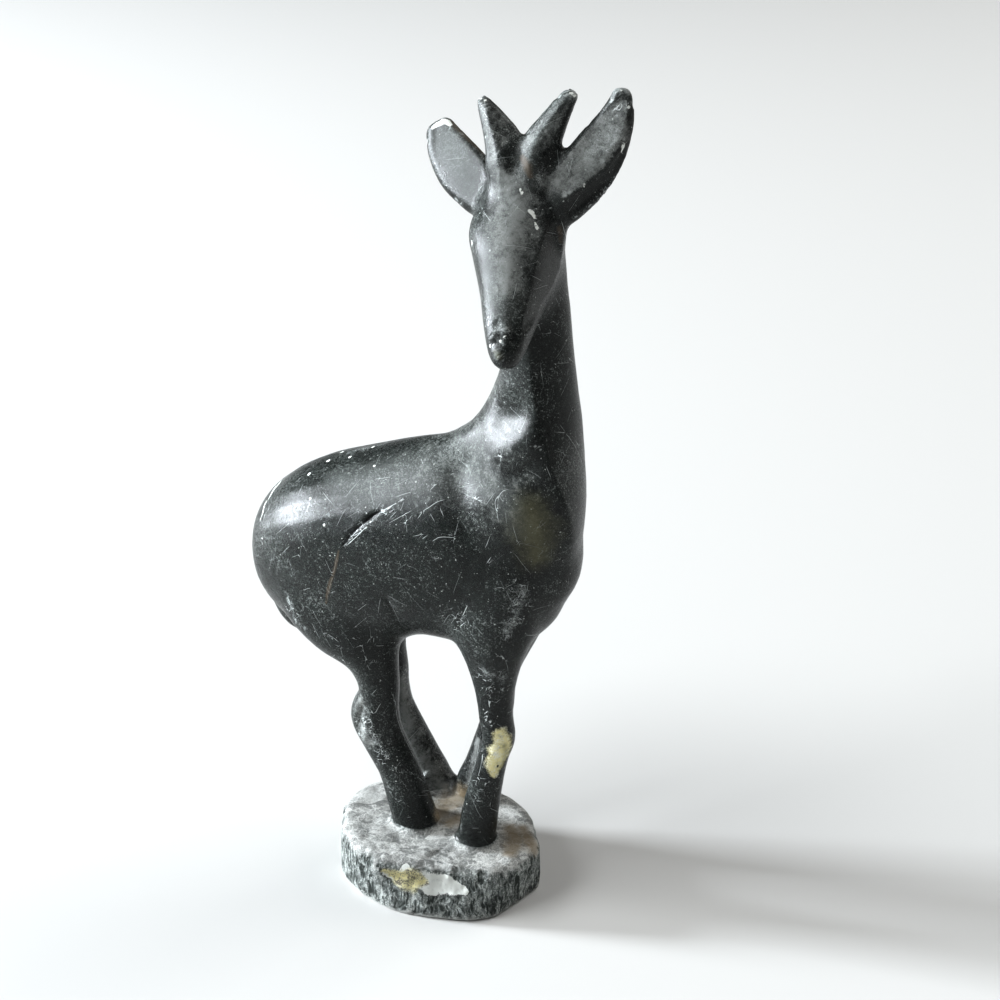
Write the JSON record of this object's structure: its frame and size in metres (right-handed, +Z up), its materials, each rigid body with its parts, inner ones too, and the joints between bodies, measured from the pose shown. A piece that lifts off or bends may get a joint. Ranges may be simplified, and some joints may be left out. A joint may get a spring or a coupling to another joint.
{
  "type": "stone deer figurine",
  "caption": "Standing deer carved from dark waxed soapstone, head turned and lowered over its shoulder, on a low oval base left in the same stone.",
  "frame": {"origin": "middle of the base's flat underside, which is the face the figurine rests on", "axes": "+Z up, +X the way the deer's body faces, +Y to the deer's left"},
  "size_m": [0.1194, 0.0591, 0.2512],
  "materials": {
    "soapstone": "waxed and rubbed to a satin gloss on the figure, left rough from the chisel on the base"
  },
  "bodies": {
    "root": {"stone_deer": "soapstone"}
  },
  "joints": []
}
